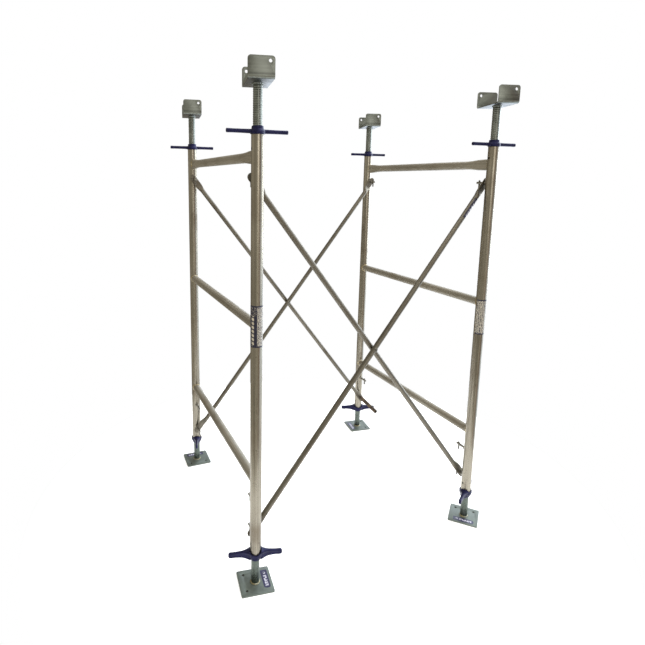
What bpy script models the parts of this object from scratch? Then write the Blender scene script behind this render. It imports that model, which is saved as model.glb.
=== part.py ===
"""One bay of an aluminium shoring tower.

Two ladder frames stand side by side along X and are tied by two pairs of cross braces.
Each leg stands on a screw jack with a wing nut and a base plate, and carries a second
screw jack with a wing nut and a U-head. Swinging gravity locks hold the braces on their
studs. Metres, +Z up, the floor at Z = 0 and the middle of the whole box on the Z axis.
"""

import math

import bmesh
import bpy
from mathutils import Matrix

# ---------------------------------------------------------------- fits and facets
GAP = 0.0003                  # left between two faces that touch
MERGE = 0.00001               # points nearer than this are one point
TUBE_SIDES = 18
ROD_SIDES = 12
BRACE_SIDES = 12
SMOOTH_ANGLE = 40             # degrees; sharper edges stay sharp

# ---------------------------------------------------------------- the tower
TOWER_X = 0.0                 # moves the tower so that its box is centred on the Z axis
TOWER_Y = -0.004024
BAY_LENGTH = 1.2192           # 4 ft, leg axis to leg axis along X
FRAME_WIDTH = 1.100           # leg axis to leg axis along Y
LEG_FOOT = 0.149              # height of the legs' lower ends
LEG_LENGTH = 1.829            # 6 ft frame
LEG_RADIUS = 0.0254
LEG_WALL = 0.004
PIN_HOLE_RADIUS = 0.0055      # cross holes at both ends of a leg
PIN_HOLE_INSET = 0.055

# ---------------------------------------------------------------- rungs, heights above the legs' feet
TOP_RUNG_HEIGHT = 1.744
MIDDLE_RUNG_HEIGHT = 1.058
LOW_RUNG_HEIGHT = 0.354
RUNG_RADIUS = 0.0211
RUNG_WALL = 0.0035
CRIMP_HALF_WIDTH = 0.011      # the top rung's ends are pressed flat against the legs
CRIMP_HALF_HEIGHT = 0.028
CRIMP_START = 0.150           # from the leg's axis
CRIMP_END = 0.045

# ---------------------------------------------------------------- studs and locks
STUD_HEIGHTS = {"lower": 0.088, "spare": 0.240, "upper": 1.656}
STUD_RADIUS = 0.0065
STUD_TIP = 0.0885             # all from the leg's axis
SHOULDER_RADIUS = 0.011
SHOULDER_END = 0.0325
SLOT_START = 0.056
SLOT_WIDTH = 0.0044
PIVOT_OUT = 0.074
PIVOT_RADIUS = 0.0016
LOCK_THICKNESS = 0.0036
LOCK_WIDTH = 0.010
LOCK_ABOVE = 0.014            # from the pivot to the lock's short end
LOCK_BELOW = 0.032
LOCK_HOLE_RADIUS = 0.0020

# ---------------------------------------------------------------- braces
BRACE_RADIUS = 0.0127
BRACE_WALL = 0.002
BRACE_PLATE_THICKNESS = 0.0055
BRACE_PLATE_HEIGHT = 0.036
BRACE_OVERHANG = 0.030        # past the middle of the stud hole
BRACE_FLAT_END = 0.038        # from the middle of the stud hole to the end of the flat
BRACE_SPOON_END = 0.088       # and to where the tube is round again
BRACE_HOLE_RADIUS = 0.0073
RISING_AXIS = 0.034           # the tube's axis, in from the legs' plane
RISING_PLATE = 0.036          # the middle of its flat ends
FALLING_AXIS = 0.0602
FALLING_PLATE = 0.046
RIVET_RADIUS = 0.00475
RIVET_HOLE_RADIUS = 0.00505
RIVET_HEAD_RADIUS = 0.010
RIVET_HEAD_THICKNESS = 0.003

# ---------------------------------------------------------------- spare sleeve on one stud
SLEEVE_RADIUS = 0.013
SLEEVE_BORE = 0.010
SLEEVE_START = 0.0412         # both from the leg's axis
SLEEVE_END = 0.230
SLEEVE_DROOP = 7.0            # degrees

# ---------------------------------------------------------------- jacks
SCREW_RADIUS = 0.019
SCREW_BORE = 0.0135
SCREW_LENGTH = 0.610
WELD_SIZE = 0.004             # leg of the fillet weld between a screw and its plate or head
PLATE_SIDE = 0.150
PLATE_THICKNESS = 0.006
PLATE_CORNER = 0.006
PLATE_HOLE_RADIUS = 0.006
PLATE_HOLE_INSET = 0.028
HEAD_UNDERSIDE = 2.167
HEAD_WIDTH = 0.1016
HEAD_LENGTH = 0.2032
HEAD_HEIGHT = 0.080
HEAD_THICKNESS = 0.005
HEAD_BEND = 0.012             # outside radius of the two bends
HEAD_CORNER = 0.012
HEAD_HOLE_RADIUS = 0.0065
HEAD_HOLE_INSET = 0.0175

# ---------------------------------------------------------------- wing nuts
NUT_BORE = 0.0198
CUP_RADIUS = 0.0325
CUP_BORE = 0.0261
CUP_RIM = 0.022               # above the leg's foot
HUB_BOTTOM = 0.024            # below the leg's foot
HUB_RADIUS = 0.0235
NOTCH = ((0.0, 0.007), (0.0235, 0.013))   # bottom and corner of the notch on each face
BASE_ARM_REACH = 0.122
BASE_ARM_THICKNESS = 0.015
BASE_ARM_TAPER_END = 0.068
COLLAR_HEIGHT = 0.032
COLLAR_FOOT_RADIUS = 0.0298
COLLAR_NECK_RADIUS = 0.0245
COLLAR_TOP_RADIUS = 0.0235
HEAD_ARM_REACH = 0.125
HEAD_ARM_RADIUS = 0.0075
HEAD_ARM_HEIGHT = 0.011       # above the leg's top

# Each corner: side along X, side along Y, and the turns in degrees about the leg's axis
# of the base nut, the base plate, the head nut and the U-head.
CORNERS = {
    "near_left": (-1, -1, -15, 81.7, -5, -13.0),
    "near_right": (1, -1, 33, -48.5, -5, -17.4),
    "far_left": (-1, 1, 76, 178.7, -5, -10.1),
    "far_right": (1, 1, -21, -98.3, -7, -18.8),
}

LEG_TOP = LEG_FOOT + LEG_LENGTH
HALF_BAY = BAY_LENGTH / 2
HALF_WIDTH = FRAME_WIDTH / 2


# ---------------------------------------------------------------- shapes
def settled(work, tools=()):
    """Return the mesh of a work object with its modifiers applied, and remove its objects."""
    graph = bpy.context.evaluated_depsgraph_get()
    mesh = bpy.data.meshes.new_from_object(work.evaluated_get(graph))
    for item in (work, *tools):
        bpy.data.objects.remove(item)
    shape = bmesh.new()
    shape.from_mesh(mesh)
    bmesh.ops.remove_doubles(shape, verts=shape.verts, dist=MERGE)
    shape.to_mesh(mesh)
    shape.free()
    return mesh


def work_object(data):
    """Put a mesh or a curve in the scene while it is being worked on."""
    work = bpy.data.objects.new("work", data)
    bpy.context.scene.collection.objects.link(work)
    return work


def turned(profile, sides):
    """Turn a profile of (radius, height) points, outer side downwards, about Z."""
    points = [(radius, 0, height) for radius, height in profile]
    edges = [(index, index + 1) for index in range(len(points) - 1)]
    if min(radius for radius, height in profile) > 0:
        edges.append((len(points) - 1, 0))
    mesh = bpy.data.meshes.new("profile")
    mesh.from_pydata(points, edges, [])
    work = work_object(mesh)
    screw = work.modifiers.new("turn", "SCREW")
    screw.steps = sides
    screw.render_steps = sides
    screw.use_merge_vertices = True
    screw.merge_threshold = MERGE
    return settled(work)


def pipe(outer, inner, low, high, sides=TUBE_SIDES):
    """A straight tube along Z."""
    return turned([(outer, high), (outer, low), (inner, low), (inner, high)], sides)


def rod(radius, length, axis="Z", centre=(0, 0, 0), sides=ROD_SIDES):
    """A solid round bar along one axis."""
    turns = {"X": Matrix.Rotation(math.pi / 2, 4, "Y"), "Y": Matrix.Rotation(math.pi / 2, 4, "X")}
    mesh = bpy.data.meshes.new("rod")
    shape = bmesh.new()
    bmesh.ops.create_cone(
        shape, cap_ends=True, segments=sides, radius1=radius, radius2=radius, depth=length,
        matrix=Matrix.Translation(centre) @ turns.get(axis, Matrix.Identity(4)))
    shape.to_mesh(mesh)
    shape.free()
    return mesh


def block(size, centre):
    """A box of a given size."""
    mesh = bpy.data.meshes.new("block")
    shape = bmesh.new()
    bmesh.ops.create_cube(shape, size=1, matrix=Matrix.Translation(centre) @ Matrix.Diagonal((*size, 1)))
    shape.to_mesh(mesh)
    shape.free()
    return mesh


def arc(centre_x, centre_y, radius, start, end, steps):
    """Points along an arc, with its angles in degrees."""
    angles = [math.radians(start + (end - start) * step / steps) for step in range(steps + 1)]
    return [(centre_x + radius * math.cos(a), centre_y + radius * math.sin(a)) for a in angles]


def extruded(loops, thickness):
    """Fill a flat outline in XY, whose further loops are holes, to a thickness about Z = 0."""
    curve = bpy.data.curves.new("outline", "CURVE")
    curve.dimensions = "2D"
    curve.fill_mode = "BOTH"
    curve.extrude = thickness / 2
    for loop in loops:
        spline = curve.splines.new("POLY")
        spline.points.add(len(loop) - 1)
        spline.use_cyclic_u = True
        for point, (x, y) in zip(spline.points, loop):
            point.co = (x, y, 0, 1)
    return settled(work_object(curve))


def moved(mesh, matrix):
    """A copy of a mesh in another place."""
    copy = mesh.copy()
    copy.transform(matrix)
    return copy


def combined(mesh, others, operation):
    """Apply Boolean tools to a mesh, one after another."""
    work = work_object(mesh)
    tools = [work_object(other) for other in others]
    for tool in tools:
        modifier = work.modifiers.new(operation, "BOOLEAN")
        modifier.operation = operation
        modifier.solver = "EXACT"
        modifier.object = tool
    return settled(work, tools)


def cross_section(half_y, half_z, shift_y, power, sides):
    """Points of a rounded section: power 2 is an ellipse, and more is squarer."""
    points = []
    for step in range(sides):
        angle = 2 * math.pi * step / sides
        across = math.copysign(abs(math.cos(angle)) ** (2 / power), math.cos(angle))
        up = math.copysign(abs(math.sin(angle)) ** (2 / power), math.sin(angle))
        points.append((shift_y + half_y * across, half_z * up))
    return points


def lofted_tube(sections, wall, sides):
    """Skin a hollow tube along X through (place, half_y, half_z, shift_y, power) sections."""
    shape = bmesh.new()
    skins = []
    for inset in (0, wall):
        rings = []
        for place, half_y, half_z, shift_y, power in sections:
            points = cross_section(half_y - inset, half_z - inset, shift_y, power, sides)
            rings.append([shape.verts.new((place, y, z)) for y, z in points])
        skins.append(rings)
    outer, inner = skins
    bridges = list(zip(outer, outer[1:])) + list(zip(inner, inner[1:]))
    bridges += [(outer[0], inner[0]), (outer[-1], inner[-1])]
    for first, second in bridges:
        for index in range(sides):
            following = (index + 1) % sides
            shape.faces.new((first[index], first[following], second[following], second[index]))
    bmesh.ops.recalc_face_normals(shape, faces=shape.faces)
    mesh = bpy.data.meshes.new("lofted")
    shape.to_mesh(mesh)
    shape.free()
    return mesh


def eased(share):
    """Smooth step from 0 to 1."""
    return share * share * (3 - 2 * share)


# ---------------------------------------------------------------- pieces
def leg_shape():
    """A leg from its foot at Z = 0, with a cross hole near each end."""
    tube = pipe(LEG_RADIUS, LEG_RADIUS - LEG_WALL, 0, LEG_LENGTH)
    heights = (PIN_HOLE_INSET, LEG_LENGTH - PIN_HOLE_INSET)
    holes = [rod(PIN_HOLE_RADIUS, 3 * LEG_RADIUS, "X", (0, 0, height), 8) for height in heights]
    return combined(tube, holes, "DIFFERENCE")


def coped(mesh):
    """Cut a rung's two ends to fit the legs."""
    radius = LEG_RADIUS + GAP
    legs = [rod(radius, 0.2, "Z", (side * HALF_WIDTH, 0, 0), 32) for side in (-1, 1)]
    return combined(mesh, legs, "DIFFERENCE")


def plain_rung_shape():
    """A round rung along X, from leg to leg."""
    sections = [(side * HALF_WIDTH, RUNG_RADIUS, RUNG_RADIUS, 0, 2) for side in (-1, 1)]
    return coped(lofted_tube(sections, RUNG_WALL, TUBE_SIDES))


def crimped_rung_shape():
    """The top rung along X: round in the middle, and pressed tall and narrow at the legs."""
    half = []
    steps = 3
    for step in range(steps + 1):
        share = step / steps
        place = CRIMP_END + (CRIMP_START - CRIMP_END) * share
        ease = eased(share)
        half_width = CRIMP_HALF_WIDTH + (RUNG_RADIUS - CRIMP_HALF_WIDTH) * ease
        half_height = CRIMP_HALF_HEIGHT + (RUNG_RADIUS - CRIMP_HALF_HEIGHT) * ease
        half.append((HALF_WIDTH - place, half_width, half_height, 0, 3 - ease))
    half.insert(0, (HALF_WIDTH, CRIMP_HALF_WIDTH, CRIMP_HALF_HEIGHT, 0, 3))
    other_half = [(-place, *rest) for place, *rest in reversed(half)]
    return coped(lofted_tube(half + other_half, RUNG_WALL, TUBE_SIDES))


def stud_shape():
    """A brace stud along Y from the leg's axis, coped to the leg, slotted and cross-pinned."""
    chamfer = 0.001
    profile = [
        (0, STUD_TIP), (STUD_RADIUS - chamfer, STUD_TIP), (STUD_RADIUS, STUD_TIP - chamfer),
        (STUD_RADIUS, SHOULDER_END), (SHOULDER_RADIUS, SHOULDER_END), (SHOULDER_RADIUS, 0), (0, 0)]
    pin = moved(turned(profile, ROD_SIDES), Matrix.Rotation(-math.pi / 2, 4, "X"))
    slot_length = 0.050
    slot_centre = (0, SLOT_START + slot_length / 2, 0)
    slot = block((SLOT_WIDTH, slot_length, 4 * STUD_RADIUS), slot_centre)
    leg = rod(LEG_RADIUS + GAP, 0.1, sides=32)
    slotted = combined(pin, [slot, leg], "DIFFERENCE")
    pivot = rod(PIVOT_RADIUS, 1.5 * STUD_RADIUS, "X", (0, PIVOT_OUT, 0), 8)
    return combined(slotted, [pivot], "UNION")


def lock_shape():
    """A gravity lock hanging from its pivot at the origin, in the YZ plane."""
    half = LOCK_WIDTH / 2
    outline = arc(LOCK_ABOVE - half, 0, half, -90, 90, 5)
    outline += arc(half - LOCK_BELOW, 0, half, 90, 270, 5)
    hole = arc(0, 0, LOCK_HOLE_RADIUS, 0, 324, 9)
    bar = extruded([outline, hole], LOCK_THICKNESS)
    return moved(bar, Matrix.Rotation(-math.pi / 2, 4, "Y"))


def brace_shape(plate_shift):
    """A brace along X from its lower stud hole, its flat ends set off sideways along Y."""
    length = math.hypot(BAY_LENGTH, STUD_HEIGHTS["upper"] - STUD_HEIGHTS["lower"])
    half_thickness = BRACE_PLATE_THICKNESS / 2
    half_height = BRACE_PLATE_HEIGHT / 2
    start = [(-BRACE_OVERHANG, half_thickness, half_height, plate_shift, 6)]
    steps = 3
    for step in range(steps + 1):
        share = step / steps
        place = BRACE_FLAT_END + (BRACE_SPOON_END - BRACE_FLAT_END) * share
        ease = eased(share)
        thick = half_thickness + (BRACE_RADIUS - half_thickness) * ease
        high = half_height + (BRACE_RADIUS - half_height) * ease
        start.append((place, thick, high, plate_shift * (1 - ease), 6 - 4 * ease))
    finish = [(length - place, *rest) for place, *rest in reversed(start)]
    bar = lofted_tube(start + finish, BRACE_WALL, BRACE_SIDES)
    holes = [rod(BRACE_HOLE_RADIUS, 0.05, "Y", (place, 0, 0)) for place in (0, length)]
    holes.append(rod(RIVET_HOLE_RADIUS, 0.05, "Y", (length / 2, 0, 0)))
    return combined(bar, holes, "DIFFERENCE")


def rivet_shape():
    """The rivet where two braces cross, along Y, at its distance from the legs' plane."""
    near = RISING_AXIS - BRACE_RADIUS - GAP
    far = FALLING_AXIS + BRACE_RADIUS + GAP
    dome = 0.7 * RIVET_HEAD_RADIUS
    profile = [
        (0, far + RIVET_HEAD_THICKNESS), (dome, far + RIVET_HEAD_THICKNESS),
        (RIVET_HEAD_RADIUS, far), (RIVET_RADIUS, far), (RIVET_RADIUS, near),
        (RIVET_HEAD_RADIUS, near), (dome, near - RIVET_HEAD_THICKNESS),
        (0, near - RIVET_HEAD_THICKNESS)]
    return moved(turned(profile, ROD_SIDES), Matrix.Rotation(-math.pi / 2, 4, "X"))


def sleeve_shape():
    """The spare sleeve, along Z from its end at the stud."""
    length = (SLEEVE_END - SLEEVE_START) / math.cos(math.radians(SLEEVE_DROOP))
    return pipe(SLEEVE_RADIUS, SLEEVE_BORE, 0, length)


def base_plate_shape():
    """A square plate on the floor with two fixing holes along one side."""
    flat = PLATE_SIDE / 2 - PLATE_CORNER
    outline = []
    for turn in (0, 90, 180, 270):
        side_x = 1 if turn in (0, 270) else -1
        side_y = 1 if turn in (0, 90) else -1
        outline += arc(side_x * flat, side_y * flat, PLATE_CORNER, turn, turn + 90, 3)
    reach = PLATE_SIDE / 2 - PLATE_HOLE_INSET
    holes = [arc(side * reach, reach, PLATE_HOLE_RADIUS, 0, 330, 11) for side in (-1, 1)]
    plate = extruded([outline, *holes], PLATE_THICKNESS)
    return moved(plate, Matrix.Translation((0, 0, PLATE_THICKNESS / 2)))


def u_head_shape():
    """A strap bent to a U, open upwards, with its underside at Z = 0 and its flanges at +-Y."""
    half = HEAD_LENGTH / 2
    inner_bend = HEAD_BEND - HEAD_THICKNESS
    low = HEAD_BEND
    outline = [(half, HEAD_HEIGHT), (half - HEAD_THICKNESS, HEAD_HEIGHT)]
    outline += arc(half - HEAD_BEND, low, inner_bend, 0, -90, 3)
    outline += arc(HEAD_BEND - half, low, inner_bend, 270, 180, 3)
    outline += [(HEAD_THICKNESS - half, HEAD_HEIGHT), (-half, HEAD_HEIGHT)]
    outline += arc(HEAD_BEND - half, low, HEAD_BEND, 180, 270, 3)
    outline += arc(half - HEAD_BEND, low, HEAD_BEND, 270, 360, 3)
    strap = extruded([outline], HEAD_WIDTH)
    strap = moved(strap, Matrix.Rotation(math.pi / 2, 4, "Z") @ Matrix.Rotation(math.pi / 2, 4, "X"))
    side = HEAD_WIDTH / 2
    shape = bmesh.new()
    shape.from_mesh(strap)
    corners = [
        edge for edge in shape.edges
        if all(abs(abs(v.co.x) - side) < MERGE and v.co.z > HEAD_HEIGHT - MERGE for v in edge.verts)
        and abs(edge.verts[0].co.x - edge.verts[1].co.x) < MERGE]
    bmesh.ops.bevel(shape, geom=corners, offset=HEAD_CORNER, segments=4, profile=0.5, affect="EDGES")
    shape.to_mesh(strap)
    shape.free()
    across = side - HEAD_HOLE_INSET
    up = HEAD_HEIGHT - HEAD_HOLE_INSET
    holes = [rod(HEAD_HOLE_RADIUS, 0.03, "Y", (-way * across, way * half, up)) for way in (-1, 1)]
    return combined(strap, holes, "DIFFERENCE")


def weld_shape(plate_face, way):
    """A fillet weld round a screw: plate_face is its height, and way is 1 above it or -1 below."""
    sunk = 0.001
    wide = SCREW_RADIUS + WELD_SIZE
    ends = sorted((plate_face - way * sunk, plate_face + way * WELD_SIZE))
    top, bottom = (SCREW_RADIUS, wide) if way > 0 else (wide, SCREW_RADIUS)
    inside = SCREW_RADIUS - sunk
    return turned([(top, ends[1]), (bottom, ends[0]), (inside, ends[0]), (inside, ends[1])], TUBE_SIDES)


def base_jack_shape():
    """A hollow screw welded to its base plate, standing on Z = 0."""
    screw = pipe(SCREW_RADIUS, SCREW_BORE, PLATE_THICKNESS / 2, PLATE_THICKNESS + SCREW_LENGTH)
    return combined(base_plate_shape(), [screw, weld_shape(PLATE_THICKNESS, 1)], "UNION")


def head_jack_shape():
    """A hollow screw hanging from the U-head it is welded to, with the head's underside at Z = 0."""
    screw = pipe(SCREW_RADIUS, SCREW_BORE, -SCREW_LENGTH, HEAD_THICKNESS / 2)
    return combined(u_head_shape(), [screw, weld_shape(0, -1)], "UNION")


def base_arm_outline():
    """One arm of the base nut, seen from the side, as (reach, height) points."""
    root = CUP_BORE + 0.002
    deep = HUB_BOTTOM - 0.004
    slim = 0.0108
    end = 0.0120
    tip = BASE_ARM_REACH - end
    outline = [(root, -deep), (BASE_ARM_TAPER_END, -slim), (tip - end, -slim)]
    outline += arc(tip, 0, end, -80, 80, 4)
    outline += [(tip - end, slim), (BASE_ARM_TAPER_END, slim), (root, CUP_RIM - 0.003)]
    return outline


def base_nut_shape():
    """The cup-shaped wing nut under a leg, with the leg's foot at Z = 0 and arms along X."""
    body = turned([
        (CUP_RADIUS, CUP_RIM), (CUP_RADIUS, -0.006), (HUB_RADIUS, -HUB_BOTTOM),
        (NUT_BORE, -HUB_BOTTOM), (NUT_BORE, -GAP), (CUP_BORE, -GAP), (CUP_BORE, CUP_RIM)], TUBE_SIDES)
    arm = extruded([base_arm_outline()], BASE_ARM_THICKNESS)
    arm = moved(arm, Matrix.Rotation(math.pi / 2, 4, "X"))
    other_arm = moved(arm, Matrix.Rotation(math.pi, 4, "Z"))
    winged = combined(body, [arm, other_arm], "UNION")
    (_, low), (corner_x, corner_z) = NOTCH
    top = CUP_RIM + 0.002
    notch = [(0, low), (corner_x, corner_z), (CUP_BORE, top), (-CUP_BORE, top), (-corner_x, corner_z)]
    cutter = moved(extruded([notch], 4 * CUP_RADIUS), Matrix.Rotation(math.pi / 2, 4, "X"))
    return combined(winged, [cutter], "DIFFERENCE")


def head_nut_shape():
    """The collar-shaped wing nut on a leg, with the leg's top at Z = 0 and rod arms along X."""
    body = turned([
        (COLLAR_TOP_RADIUS, COLLAR_HEIGHT), (COLLAR_NECK_RADIUS, 0.020), (COLLAR_FOOT_RADIUS, 0.008),
        (COLLAR_FOOT_RADIUS, GAP), (NUT_BORE, GAP), (NUT_BORE, COLLAR_HEIGHT)], TUBE_SIDES)
    root = NUT_BORE + 0.0025
    length = HEAD_ARM_REACH - root
    places = [(side * (root + length / 2), 0, HEAD_ARM_HEIGHT) for side in (-1, 1)]
    arms = [rod(HEAD_ARM_RADIUS, length, "X", place) for place in places]
    return combined(body, arms, "UNION")


# ---------------------------------------------------------------- placing
def finish(name, colour, roughness, metallic):
    """A plain material for one kind of piece."""
    material = bpy.data.materials.new(name)
    material.use_nodes = True
    shader = material.node_tree.nodes["Principled BSDF"]
    shader.inputs["Base Color"].default_value = (*colour, 1)
    shader.inputs["Roughness"].default_value = roughness
    shader.inputs["Metallic"].default_value = metallic
    return material


def finished(mesh, name, colour, roughness, metallic):
    """Give a shape its material and its shading."""
    mesh.materials.clear()
    mesh.materials.append(finish(name, colour, roughness, metallic))
    mesh.shade_smooth()
    mesh.set_sharp_from_angle(angle=math.radians(SMOOTH_ANGLE))
    return mesh


def place(name, mesh, parent, location=(0, 0, 0), turns=(0, 0, 0)):
    """Set a piece in the tower, its turns in degrees."""
    part = bpy.data.objects.new(name, mesh)
    bpy.data.collections["frame_scaffold_bay"].objects.link(part)
    part.parent = parent
    part.location = location
    part.rotation_euler = [math.radians(turn) for turn in turns]
    return part


def empty(name, parent, location=(0, 0, 0), turn=0):
    """A point that other pieces are placed from."""
    marker = bpy.data.objects.new(name, None)
    bpy.data.collections["frame_scaffold_bay"].objects.link(marker)
    marker.parent = parent
    marker.location = location
    marker.rotation_euler = (0, 0, math.radians(turn))
    return marker


def add_frames(tower):
    """The rungs of the two ladder frames."""
    silver = (0.60, 0.58, 0.53)
    plain = finished(plain_rung_shape(), "rung_aluminium", silver, 0.42, 0.9)
    crimped = finished(crimped_rung_shape(), "top_rung_aluminium", silver, 0.38, 0.9)
    rungs = {"top": (TOP_RUNG_HEIGHT, crimped), "middle": (MIDDLE_RUNG_HEIGHT, plain),
             "low": (LOW_RUNG_HEIGHT, plain)}
    for side, way in (("left", -1), ("right", 1)):
        for level, (height, mesh) in rungs.items():
            location = (way * HALF_BAY, 0, LEG_FOOT + height)
            place(f"{level}_rung_{side}", mesh, tower, location, (0, 0, 90))


def add_legs_and_locks(corners):
    """The legs, their studs and the gravity locks on the studs."""
    leg = finished(leg_shape(), "leg_aluminium", (0.63, 0.60, 0.53), 0.40, 0.9)
    stud = finished(stud_shape(), "stud_steel", (0.42, 0.41, 0.38), 0.45, 0.9)
    lock = finished(lock_shape(), "lock_steel", (0.30, 0.30, 0.29), 0.5, 0.9)
    for corner, marker in corners.items():
        facing = 0 if CORNERS[corner][1] < 0 else 180
        place(f"leg_{corner}", leg, marker, (0, 0, LEG_FOOT))
        for level, height in STUD_HEIGHTS.items():
            place(f"stud_{corner}_{level}", stud, marker, (0, 0, LEG_FOOT + height), (0, 0, facing))
            pivot = (0, -CORNERS[corner][1] * PIVOT_OUT, LEG_FOOT + height)
            sleeved = corner == "far_right" and level == "lower"
            swing = 90 - SLEEVE_DROOP if sleeved else 0
            place(f"lock_{corner}_{level}", lock, marker, pivot, (swing, 0, facing))


def add_braces(tower):
    """Two pairs of cross braces, each pair riveted where its braces cross."""
    rise = STUD_HEIGHTS["upper"] - STUD_HEIGHTS["lower"]
    slope = math.degrees(math.atan2(rise, BAY_LENGTH))
    grey = (0.36, 0.34, 0.30)
    rising = finished(brace_shape(RISING_PLATE - RISING_AXIS), "rising_brace_steel", grey, 0.45, 0.85)
    falling = finished(brace_shape(FALLING_PLATE - FALLING_AXIS), "falling_brace_steel", grey, 0.45, 0.85)
    rivet = finished(rivet_shape(), "rivet_steel", (0.34, 0.33, 0.31), 0.5, 0.9)
    low = LEG_FOOT + STUD_HEIGHTS["lower"]
    high = LEG_FOOT + STUD_HEIGHTS["upper"]
    for side, turn in (("near", 0), ("far", 180)):
        plane = empty(f"{side}_brace_plane", tower, turn=turn)
        legs_plane = -HALF_WIDTH
        place(f"brace_{side}_rising", rising, plane, (-HALF_BAY, legs_plane + RISING_AXIS, low),
              (0, -slope, 0))
        place(f"brace_{side}_falling", falling, plane, (-HALF_BAY, legs_plane + FALLING_AXIS, high),
              (0, slope, 0))
        place(f"brace_rivet_{side}", rivet, plane, (0, legs_plane, (low + high) / 2))


def add_sleeve(marker):
    """A loose sleeve left on the far right leg's lower stud, tipping down at its free end."""
    sleeve = finished(sleeve_shape(), "sleeve_brown", (0.10, 0.075, 0.05), 0.6, 0.3)
    middle = (SLEEVE_START + STUD_TIP) / 2
    lift = (middle - SLEEVE_START) * math.tan(math.radians(SLEEVE_DROOP))
    start = (0, -SLEEVE_START, LEG_FOOT + STUD_HEIGHTS["lower"] + lift)
    place("spare_sleeve", sleeve, marker, start, (90 + SLEEVE_DROOP, 0, 0))


def add_base_jacks(corners):
    """Under each leg a wing nut and a screw jack with a base plate."""
    jack = finished(base_jack_shape(), "base_jack_zinc", (0.48, 0.53, 0.51), 0.38, 0.85)
    nut = finished(base_nut_shape(), "base_nut_navy", (0.022, 0.020, 0.10), 0.4, 0.1)
    for corner, marker in corners.items():
        nut_turn, plate_turn = CORNERS[corner][2:4]
        place(f"base_nut_{corner}", nut, marker, (0, 0, LEG_FOOT), (0, 0, nut_turn))
        place(f"base_jack_{corner}", jack, marker, turns=(0, 0, plate_turn))


def add_head_jacks(corners):
    """On each leg a wing nut and a screw jack with a U-head."""
    jack = finished(head_jack_shape(), "head_jack_zinc", (0.34, 0.37, 0.33), 0.42, 0.8)
    nut = finished(head_nut_shape(), "head_nut_navy", (0.022, 0.020, 0.10), 0.4, 0.1)
    for corner, marker in corners.items():
        nut_turn, head_turn = CORNERS[corner][4:6]
        place(f"head_nut_{corner}", nut, marker, (0, 0, LEG_TOP), (0, 0, nut_turn))
        place(f"head_jack_{corner}", jack, marker, (0, 0, HEAD_UNDERSIDE), (0, 0, head_turn))


def main():
    """Clear the scene and build the whole bay."""
    for item in list(bpy.data.objects):
        bpy.data.objects.remove(item)
    parts = bpy.data.collections.new("frame_scaffold_bay")
    bpy.context.scene.collection.children.link(parts)
    tower = empty("tower", None, (TOWER_X, TOWER_Y, 0))
    corners = {}
    for corner, (side_x, side_y, *turns) in CORNERS.items():
        corners[corner] = empty(f"corner_{corner}", tower, (side_x * HALF_BAY, side_y * HALF_WIDTH, 0))
    add_frames(tower)
    add_legs_and_locks(corners)
    add_braces(tower)
    add_sleeve(corners["far_right"])
    add_base_jacks(corners)
    add_head_jacks(corners)


main()
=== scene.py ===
"""Detailed pieces, finishes and a studio for one bay of aluminium shoring frame."""

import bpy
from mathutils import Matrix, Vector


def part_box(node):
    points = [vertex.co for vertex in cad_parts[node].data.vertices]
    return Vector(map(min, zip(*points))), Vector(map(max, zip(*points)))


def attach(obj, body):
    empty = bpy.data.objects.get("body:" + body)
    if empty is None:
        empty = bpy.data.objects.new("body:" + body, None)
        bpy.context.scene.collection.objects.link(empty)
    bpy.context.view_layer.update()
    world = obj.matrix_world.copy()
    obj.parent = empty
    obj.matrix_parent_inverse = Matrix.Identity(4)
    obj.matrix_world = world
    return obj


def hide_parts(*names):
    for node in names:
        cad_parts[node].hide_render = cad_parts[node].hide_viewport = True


bl_info = {
    "name": "Shoring Frame Bay",
    "version": (1, 0, 0),
    "blender": (4, 5, 0),
    "location": "View3D > Sidebar > Shoring",
    "description": "Models the fine pieces and finishes of a shoring frame bay around its solid parts",
    "category": "Object",
}

import math

import bmesh
import bpy
from bpy.props import FloatProperty, FloatVectorProperty, PointerProperty
from mathutils import Matrix, Vector

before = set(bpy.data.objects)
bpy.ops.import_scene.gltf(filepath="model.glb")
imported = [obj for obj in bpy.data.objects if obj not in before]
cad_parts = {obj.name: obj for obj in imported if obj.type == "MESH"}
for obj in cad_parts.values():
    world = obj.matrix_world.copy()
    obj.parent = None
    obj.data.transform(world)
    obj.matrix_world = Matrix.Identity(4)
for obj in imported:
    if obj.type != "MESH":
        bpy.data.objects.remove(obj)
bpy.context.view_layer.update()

# ---------------------------------------------------------------- layout, read from the frame
SIDES = {"left": -1, "right": 1}
CORNERS = ("near_left", "near_right", "far_left", "far_right")
LEVELS = ("lower", "spare", "upper")
# Turns about each leg's axis in degrees, as the solid parts have them:
# base nut, base plate, head nut, U-head.
TURNS = {
    "near_left": (-15, 81.7, -5, -13.0),
    "near_right": (33, -48.5, -5, -17.4),
    "far_left": (76, 178.7, -5, -10.1),
    "far_right": (-21, -98.3, -7, -18.8),
}


def middle(node):
    """The middle of a solid part's box."""
    low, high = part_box(node)
    return (Vector(low) + Vector(high)) / 2


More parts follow.
